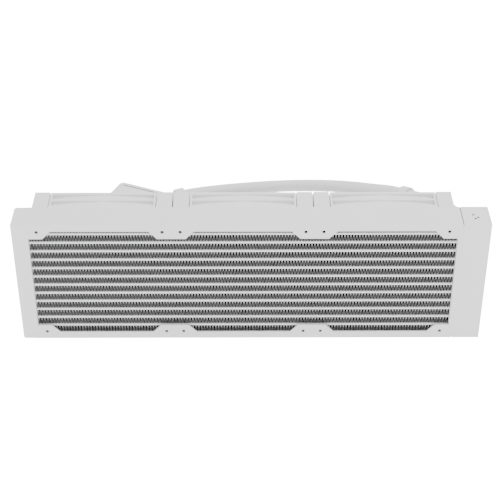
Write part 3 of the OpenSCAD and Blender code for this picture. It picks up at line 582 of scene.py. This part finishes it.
# ---- Fans ----
# Each fan has a moulded white frame: a round duct between square flanges, four struts that carry
# the motor, and a screw sleeve in each corner.
fan_t = 0.025
fan_size = 0.12
fan_count = 3
fan_face_y = 0.01353
fan_axis_z = 0.06
duct_r = 0.0587
duct_wall = 0.0016
hub_r = 0.0205
flange_half = 0.0594
wall_half = 0.0584
wall_bow = 0.0028
notch = 0.0454
flange_heights = ((0.0004, 0.0038), (0.0113, 0.0137), (0.0212, 0.0246))
wall_heights = ((0.0037, 0.0114), (0.0136, 0.0213))
end_rib_w = 0.0018
strut_w = 0.0036
strut_angle = 20
hole_offset = 0.0525


def on_fan(points, fan):
    """Fan coordinates, z from the radiator side to the intake side, in the object's frame."""
    x, y, z = points[..., 0], points[..., 1], points[..., 2]
    return np.stack([x + (fan - 2) * fan_size, z + fan_face_y, fan_axis_z - y], axis=-1)


def spun(profile, sides=96):
    """A closed profile of (radius, height) points carried round the axis."""
    profile = np.array(profile)
    turn = np.linspace(0, 2 * math.pi, sides, endpoint=False)[:, None]
    radius, height = profile[:, 0], profile[:, 1]
    rings = np.stack(
        np.broadcast_arrays(radius * np.cos(turn), radius * np.sin(turn), height), axis=-1
    )
    return rings.reshape(-1, 3), grid_quads(sides, len(profile), True, True).tolist()


def flange_plate(z0, z1, half, bow=0.0, edge=0.0003):
    """A square plate with its corners cut out for the pads and a round hole. Each side falls
    back from its middle by a share of the bow, the square of the place along it."""
    along = np.linspace(-1, 1, 33)[:, None]
    side = np.vstack([np.hstack([half - bow * along ** 2, notch * along]), [[notch, notch]]])
    turns = [np.array([[c, s], [-s, c]]) for c, s in ((1, 0), (0, 1), (-1, 0), (0, -1))]
    outline = np.concatenate([side @ turn for turn in turns])
    hole = outline / np.linalg.norm(outline, axis=1, keepdims=True) * (duct_r - duct_wall / 2)
    inset = outline * (1 - edge / half)
    loops = np.stack([inset, outline, outline, inset, hole, hole], axis=1)
    z = np.broadcast_to([z0, z0 + edge, z1 - edge, z1, z1, z0], loops.shape[:2])
    rings = np.concatenate([loops, z[..., None]], axis=2)
    return rings.reshape(-1, 3), grid_quads(len(outline), 6, True, True).tolist()


def rounded_bar(x0, x1, width, z0, z1, angle, aside=0.0):
    """A bar along the radius at an angle, or beside it. Its section is a rounded rectangle: a
    circle's cosine and sine, each raised to a small power."""
    squareness = 0.35
    a = np.linspace(0, 2 * math.pi, 24, endpoint=False)
    section_y = aside + np.sign(np.cos(a)) * abs(np.cos(a)) ** squareness * width / 2
    tall = z1 - z0
    section_z = (z0 + z1) / 2 + np.sign(np.sin(a)) * abs(np.sin(a)) ** squareness * tall / 2
    x = np.array([x0, x1])[:, None]
    c, s = math.cos(angle), math.sin(angle)
    rings = np.stack(
        np.broadcast_arrays(x * c - section_y * s, x * s + section_y * c, section_z), axis=-1
    )
    return tube_shell(rings)


def fan_frame_shell():
    """Duct, flanges, side walls, hub plate, struts, end ribs and corner sleeves as closed shells
    in fan coordinates."""
    bore_r = duct_r - duct_wall
    end = 0.0002
    lip = 0.0009
    lip_depth, flare_depth = 0.0012, 0.003
    duct = spun([
        (bore_r + lip, end), (duct_r - end, end), (duct_r, 2 * end), (duct_r, fan_t - 2 * end),
        (duct_r - end, fan_t - end), (bore_r + lip, fan_t - end),
        (bore_r + lip / 3, fan_t - lip_depth), (bore_r, fan_t - flare_depth),
        (bore_r, flare_depth), (bore_r + lip / 3, lip_depth),
    ], 180)
    flanges = [flange_plate(z0, z1, flange_half) for z0, z1 in flange_heights]
    walls = [flange_plate(z0, z1, wall_half, wall_bow) for z0, z1 in wall_heights]
    hub = spun([
        (0.0001, 0.0006), (hub_r - 0.0008, 0.0006), (hub_r, 0.0014), (hub_r, 0.0032),
        (0.005, 0.0032), (0.005, 0.0166), (0.00303, 0.0166), (0.00303, 0.0026), (0.0001, 0.0026),
    ])
    struts = [
        rounded_bar(hub_r - 0.002, bore_r + 0.0006, strut_w, 0.0006, 0.0032,
                    math.radians(strut_angle + 90 * k))
        for k in range(4)
    ]
    end_ribs = [
        rounded_bar(0.04, flange_half - 0.0001, end_rib_w, 0.0014, 0.0236,
                    math.radians(90 * k), side * (notch - end_rib_w / 2))
        for k in range(4) for side in (-1, 1)
    ]
    corner = math.hypot(hole_offset, hole_offset)
    shells = [duct, *flanges, *walls, hub, *struts, *end_ribs]
    for k in range(4):
        angle = math.radians(45 + 90 * k)
        centre = np.array([corner * math.cos(angle), corner * math.sin(angle), 0])
        sleeve_points, sleeve_faces = spun([
            (0.0021, end), (0.0044, end), (0.0046, 2 * end), (0.0046, fan_t - 2 * end),
            (0.0044, fan_t - end), (0.0021, fan_t - end),
        ], 40)
        shells.append((sleeve_points + centre, sleeve_faces))
        shells.append(rounded_bar(duct_r - 0.0004, corner - 0.0028, 0.006, end, fan_t - end, angle))
    return joined(shells)


fan_plastic = plastic_material("fan_frame_plastic", (0.78, 0.78, 0.79))
frame_points, frame_faces = fan_frame_shell()
for fan in range(1, fan_count + 1):
    frame_shell = (on_fan(frame_points, fan), frame_faces)
    fan_frame = make_piece(f"moulded_frame_{fan}", frame_shell, fan_plastic, 30)
    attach(fan_frame, "cooler_body")
    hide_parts(f"fan_{fan}_frame")


# ---- Fan corner pads ----
# Soft silicone pads are pressed over the four corners of every frame, so that the fan touches
# the radiator and the case only through rubber.
def rubber_material(name, colour, roughness=0.62):
    """Silicone rubber: matt, with faint mould texture and a little sheen."""
    material, tree, shader, coordinates = new_material(name, colour, roughness)
    place = coordinates.outputs["Object"]
    bump(tree, shader, noise(tree, place, 0.0008), 0.00003)
    darker = tuple(0.95 * c for c in colour)
    shade_between(tree, shader, noise(tree, place, 0.01), darker, colour)
    shader.inputs["Sheen Weight"].default_value = 0.1
    return material


white_silicone = rubber_material("white_silicone", (0.75, 0.75, 0.765))
pads = rounded_copy("silicone_corner_pads", "fan_corner_pads", white_silicone, 0.0004, 2)


# ---- Fan wheels ----
# The wheel is one white moulding: a deep hub cup over the motor and nine twisted blades. It is
# pressed on the shaft, and the ring magnet sits inside the cup.
blade_count = 9
wheel_r = 0.0559
cup_z0, cup_z1 = 0.0044, 0.0225
blade_steps, chord_steps = 15, 13
root_pitch, pitch_drop = 46, 16
root_chord, chord_gain = 0.0185, 0.0055
blade_t, edge_t = 0.0009, 0.0001
blade_arch = 0.0022
blade_sweep = 0.16


def blade_shell(start_angle):
    """A blade section is a thin arched wing. It is carried from hub to tip while its pitch gets
    flatter and its middle sweeps forward round the axis."""
    out = np.linspace(0, 1, blade_steps)[:, None]
    across = np.linspace(0, math.pi, chord_steps)
    chord_place = np.concatenate([-np.cos(across), np.cos(across)[1:-1]])[None] / 2
    face = np.concatenate([np.ones(chord_steps), -np.ones(chord_steps - 2)])[None]
    radius = hub_r - 0.0006 + out * (wheel_r - hub_r + 0.0006)
    pitch = np.radians(root_pitch - pitch_drop * out)
    chord = root_chord + chord_gain * out
    fullness = np.sqrt(np.clip(1 - 4 * chord_place ** 2, 0, 1))
    thick = blade_t * fullness * (1 - 0.3 * out) + edge_t
    arch = blade_arch * (1 - 4 * chord_place ** 2)
    lengthwise = chord_place * chord
    square_to_it = arch - face * thick
    tangent = lengthwise * np.cos(pitch) - square_to_it * np.sin(pitch)
    rise = lengthwise * np.sin(pitch) + square_to_it * np.cos(pitch)
    angle = start_angle + tangent / radius + blade_sweep * out ** 2
    z = np.clip((cup_z0 + cup_z1) / 2 - 0.0004 + rise, cup_z0 + 0.0002, cup_z1)
    rings = np.stack(
        np.broadcast_arrays(radius * np.cos(angle), radius * np.sin(angle), z), axis=-1
    )
    return tube_shell(rings)


def wheel_shell():
    """The hub cup's profile carried round the axis, and the blades at even angles on it."""
    cup = spun([
        (0.0001, cup_z1 - 0.0004), (0.0085, cup_z1 - 0.0004), (0.0089, cup_z1 - 0.0001),
        (0.019, cup_z1 - 0.0001), (0.0199, cup_z1 - 0.0005), (hub_r, cup_z1 - 0.0014),
        (hub_r, cup_z0), (0.0186, cup_z0), (0.0186, cup_z1 - 0.002), (0.004, cup_z1 - 0.002),
        (0.004, cup_z1 - 0.005), (0.0001, cup_z1 - 0.005),
    ], 120)
    blades = [blade_shell(2 * math.pi * k / blade_count) for k in range(blade_count)]
    return joined([cup, *blades])


wheel_plastic = plastic_material("wheel_plastic", (0.8, 0.8, 0.81), 0.35)
wheel_points, wheel_faces = wheel_shell()
for fan in range(1, fan_count + 1):
    placed_wheel = (on_fan(wheel_points, fan), wheel_faces)
    wheel = make_piece(f"bladed_wheel_{fan}", placed_wheel, wheel_plastic, 35)
    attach(wheel, f"fan_{fan}_rotor")
    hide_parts(f"fan_{fan}_wheel")


# ---- Fan screws ----
# Twelve long screws with hexagon sockets pass through the frames' corner sleeves into the
# radiator's back lips.
def screw_shell():
    """Shank and head carried round the axis; the socket's rings have the radius of a hexagon."""
    sides = 48
    socket_half = 0.0011
    turn = np.linspace(0, 2 * math.pi, sides, endpoint=False)
    hexagon = socket_half / np.cos((turn + math.pi / 6) % (math.pi / 3) - math.pi / 6)
    stations = [
        (0.0000, -0.028), (0.0012, -0.028), (0.0015, -0.0277), (0.0015, 0.0001), (0.0029, 0.0001),
        (0.003, 0.0003), (0.003, 0.0014), (0.0026, 0.0019), (0.0018, 0.002),
    ]
    radius = [np.full(sides, r) for r, _ in stations] + [hexagon, hexagon, np.zeros(sides)]
    height = [z for _, z in stations] + [0.002, 0.0008, 0.0008]
    radius, z = np.array(radius), np.array(height)[:, None]
    rings = np.stack(
        np.broadcast_arrays(radius * np.cos(turn), radius * np.sin(turn), z), axis=-1
    )
    return rings.reshape(-1, 3), grid_quads(len(height), sides, False, True).tolist()


screw_coat = powder_coat_material("screw_coat", (0.62, 0.62, 0.63), 0.35)
screw_points, screw_faces = screw_shell()
screw_shells = [
    (on_fan(screw_points + np.array([x, y, fan_t]), fan), screw_faces)
    for fan in range(1, fan_count + 1)
    for x in (-hole_offset, hole_offset)
    for y in (-hole_offset, hole_offset)
]
screws = make_piece("socket_screws", joined(screw_shells), screw_coat, 30)
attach(screws, "cooler_body")
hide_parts("fan_screws")


# ---- Ferrules ----
# Aluminium cups, painted white, are crimped over the four hose ends. Three pressed rings show
# where the crimp grips the hose on the barbs.
ferrule_r, ferrule_bore_r, ferrule_rim = 0.0076, 0.005, 0.0004
crimp_half_w, crimp_depth = 0.0011, 0.0006
crimp_places = (0.35, 0.55, 0.75)


def crimped_ferrule(length):
    """A cup's profile with three shallow grooves, each the crest of a cosine wave in section."""
    z = np.linspace(ferrule_rim, length - ferrule_rim, 60)
    groove = sum(
        np.clip(np.cos((z - length * place) / crimp_half_w * math.pi / 2), 0, 1)
        * (abs(z - length * place) < crimp_half_w) for place in crimp_places
    )
    outer = np.stack([ferrule_r - crimp_depth * groove, z], axis=1)
    rim_r = ferrule_r - ferrule_rim
    rim = [(rim_r, length), (ferrule_bore_r, length), (ferrule_bore_r, 0), (rim_r, 0)]
    return spun(np.concatenate([outer, rim]), 72)


def set_along(points, origin, direction):
    """Puts the z axis of the points along a level direction, at an origin."""
    d = np.array([*direction, 0.0])
    side = np.cross(d, (0, 0, 1))
    up = np.array([0, 0, 1.0])
    return np.array(origin) + points[:, :1] * side + points[:, 1:2] * up + points[:, 2:] * d


pump_centre = np.array([-0.1, 0.1084])
pump_angle = math.radians(-24)
pump_back = (-math.sin(pump_angle), math.cos(pump_angle))
pump_across = (math.cos(pump_angle), math.sin(pump_angle))
pump_half = 0.03503
port_offset = 0.012
port_z = 0.022
port_flange = 0.0033
tank_ferrule_y = 0.01783


def pump_port(side, out):
    """A point on the axis of one of the pump's two fittings, a distance out of its back face."""
    beside = np.array(pump_across) * side * port_offset
    behind = np.array(pump_back) * (pump_half + out)
    return (*(pump_centre + beside + behind), port_z)


tank_ferrule_l, pump_ferrule_l = 0.0150, 0.0116
tank_points, ferrule_faces = crimped_ferrule(tank_ferrule_l)
pump_points, _ = crimped_ferrule(pump_ferrule_l)
ferrule_coat = powder_coat_material("ferrule_coat", (0.74, 0.74, 0.75), 0.32)
ferrule_shells = [
    (set_along(tank_points, (x, tank_ferrule_y, z), (0, 1)), ferrule_faces)
    for x, _, z in (upper_route[0], lower_route[0])
] + [
    (set_along(pump_points, pump_port(side, port_flange), pump_back), ferrule_faces)
    for side in (-1, 1)
]
ferrules = make_piece("crimped_ferrules", joined(ferrule_shells), ferrule_coat)
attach(ferrules, "cooler_body")
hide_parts("hose_ferrules")


# ---- Pump block ----
# A white moulded housing holds the motor and the impeller. A deep cap with fine grooves round its
# sides closes it, with a flat panel let into its top over a narrow dark ring.
housing_plastic = plastic_material("pump_plastic", (0.76, 0.76, 0.77), 0.45, 0.0007, 0.00003)
for name, node, edge in (
    ("pump_body", "pump_housing", 0.0005), ("ribbed_cap", "pump_cap", 0.0002),
    ("top_panel", "pump_top_panel", 0.00015),
):
    block = rounded_copy(name, node, housing_plastic, edge, 3)


# ---- Metal, rubber and motor pieces that keep their CAD shape ----
# Turned fittings, the copper plate, the steel bracket and the pieces sealed inside keep the
# shape they are made to; each gets the finish of its own making.
def metal_material(name, colour, roughness, lines=(1, 1, 12), size=0.0015):
    """Worked metal: fine tool lines, long in two directions and short in the third."""
    material, tree, shader, coordinates = new_material(name, colour, roughness, 1.0)
    tool_lines = tree.nodes.new("ShaderNodeMapping")
    tool_lines.inputs["Scale"].default_value = lines
    tree.links.new(coordinates.outputs["Object"], tool_lines.inputs["Vector"])
    pattern = noise(tree, tool_lines.outputs["Vector"], size, 4.0)
    bump(tree, shader, pattern, 0.00002)
    spread(tree, pattern, roughness - 0.08, roughness + 0.1, shader.inputs["Roughness"])
    shade_between(tree, shader, pattern, tuple(0.88 * c for c in colour), colour)
    return material


def winding_material():
    """Enamelled copper wire laid in close turns, drawn as fine bands of painted highlight and
    shade.
    """
    material, tree, shader, coordinates = new_material(
        "copper_winding", (0.6, 0.27, 0.12), 0.35, 0.8
    )
    turns = tree.nodes.new("ShaderNodeTexWave")
    turns.inputs["Scale"].default_value = 900
    turns.inputs["Distortion"].default_value = 1.5
    tree.links.new(coordinates.outputs["Object"], turns.inputs["Vector"])
    bump(tree, shader, turns.outputs["Fac"], 0.0001)
    # Painted highlight and shade: the colour runs from dark to bright copper across each turn.
    shade_between(tree, shader, turns.outputs["Fac"], (0.3, 0.1, 0.04), (0.72, 0.34, 0.16))
    return material


def board_material():
    """Green solder mask over copper tracks, which show as slightly lighter cells."""
    material, tree, shader, coordinates = new_material("solder_mask", (0.02, 0.12, 0.06), 0.3)
    tracks = tree.nodes.new("ShaderNodeTexVoronoi")
    tracks.feature = "DISTANCE_TO_EDGE"
    tracks.inputs["Scale"].default_value = 500
    tree.links.new(coordinates.outputs["Object"], tracks.inputs["Vector"])
    shade_between(tree, shader, tracks.outputs["Distance"], (0.05, 0.25, 0.12), (0.015, 0.1, 0.05))
    return material


turned_aluminium = metal_material("turned_aluminium", (0.72, 0.73, 0.75), 0.32, (1, 10, 1))
lapped_copper = metal_material("lapped_copper", (0.83, 0.45, 0.28), 0.28, (12, 1, 1))
ground_steel = metal_material("ground_steel", (0.6, 0.6, 0.62), 0.25)
nickel_steel = metal_material("nickel_steel", (0.55, 0.55, 0.57), 0.38)
oilite_bronze = metal_material("oilite_bronze", (0.5, 0.34, 0.16), 0.45, (3, 3, 3), 0.0004)
ferrite = metal_material("ferrite", (0.06, 0.06, 0.065), 0.55, (2, 2, 2), 0.0006)
black_rubber = rubber_material("black_rubber", (0.025, 0.025, 0.027), 0.7)
dark_plastic = plastic_material("dark_plastic", (0.03, 0.03, 0.033), 0.5)
frosted_ring = plastic_material("frosted_ring", (0.012, 0.012, 0.013), 0.5)
ring_shader = frosted_ring.node_tree.nodes["Principled BSDF"]
ring_shader.inputs["Specular IOR Level"].default_value = 0.1
winding = winding_material()
solder_mask = board_material()
kept = {
    turned_aluminium: ["fill_plug", "upper_tank_fitting", "lower_tank_fitting",
                       "pump_outer_fitting", "pump_inner_fitting"],
    lapped_copper: ["cold_plate"],
    ground_steel: ["cold_plate_screws", "pump_shaft", "fan_1_shaft", "fan_2_shaft", "fan_3_shaft"],
    nickel_steel: ["cpu_bracket"],
    oilite_bronze: ["fan_1_bearing", "fan_2_bearing", "fan_3_bearing"],
    ferrite: ["pump_magnet", "fan_1_magnet", "fan_2_magnet", "fan_3_magnet"],
    black_rubber: ["relief_bladder", "fill_plug_seal", "cold_plate_seal"],
    dark_plastic: ["rotor_can", "pump_impeller"],
    frosted_ring: ["pump_light_ring"],
    winding: ["pump_stator", "fan_1_stator", "fan_2_stator", "fan_3_stator"],
    solder_mask: ["pump_circuit_board", "fan_1_circuit_board", "fan_2_circuit_board",
                  "fan_3_circuit_board"],
    white_coat: ["tank_baffle"],
}
for material, node_names in kept.items():
    for node_name in node_names:
        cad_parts[node_name].data.materials.clear()
        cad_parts[node_name].data.materials.append(material)


# ---- Floor and light ----
# A plain white floor glows a little on the object, and looks brighter than it lights, so that it
# stays pure white. Over it are a wide soft sky and two broad lamps.
floor_mesh = bpy.data.meshes.new("floor")
floor_half = 6.0
floor_glow, floor_glow_seen = 0.9, 16
floor_corners = [
    (-floor_half, -floor_half, 0), (floor_half, -floor_half, 0),
    (floor_half, floor_half, 0), (-floor_half, floor_half, 0),
]
floor_mesh.from_pydata(floor_corners, [], [(0, 1, 2, 3)])
floor = bpy.data.objects.new("floor", floor_mesh)
bpy.context.scene.collection.objects.link(floor)
paper, paper_tree, paper_shader, _ = new_material("floor_paper", (0.95, 0.95, 0.95), 0.9)
paper_shader.inputs["Emission Color"].default_value = (1, 1, 1, 1)
seen = paper_tree.nodes.new("ShaderNodeLightPath")
spread(
    paper_tree, seen.outputs["Is Camera Ray"], floor_glow, floor_glow_seen,
    paper_shader.inputs["Emission Strength"], 0, 1,
)
floor_mesh.materials.append(paper)

sky = bpy.data.worlds.new("sky")
sky.use_nodes = True
sky.node_tree.nodes["Background"].inputs["Color"].default_value = (1, 1, 1, 1)
sky.node_tree.nodes["Background"].inputs["Strength"].default_value = 1.8
bpy.context.scene.world = sky
for name, place, power, size in (
    ("front_lamp", (-0.7, -1.3, 1.3), 30, 1.4),
    ("top_lamp", (0.4, 0.4, 1.9), 30, 1.6),
):
    lamp_data = bpy.data.lights.new(name, "AREA")
    lamp_data.energy = power
    lamp_data.size = size
    lamp = bpy.data.objects.new(name, lamp_data)
    lamp.location = place
    aim = -np.array(place) / np.linalg.norm(place)
    lamp.rotation_euler = (math.acos(-aim[2]), 0, math.atan2(aim[0], -aim[1]))
    bpy.context.scene.collection.objects.link(lamp)
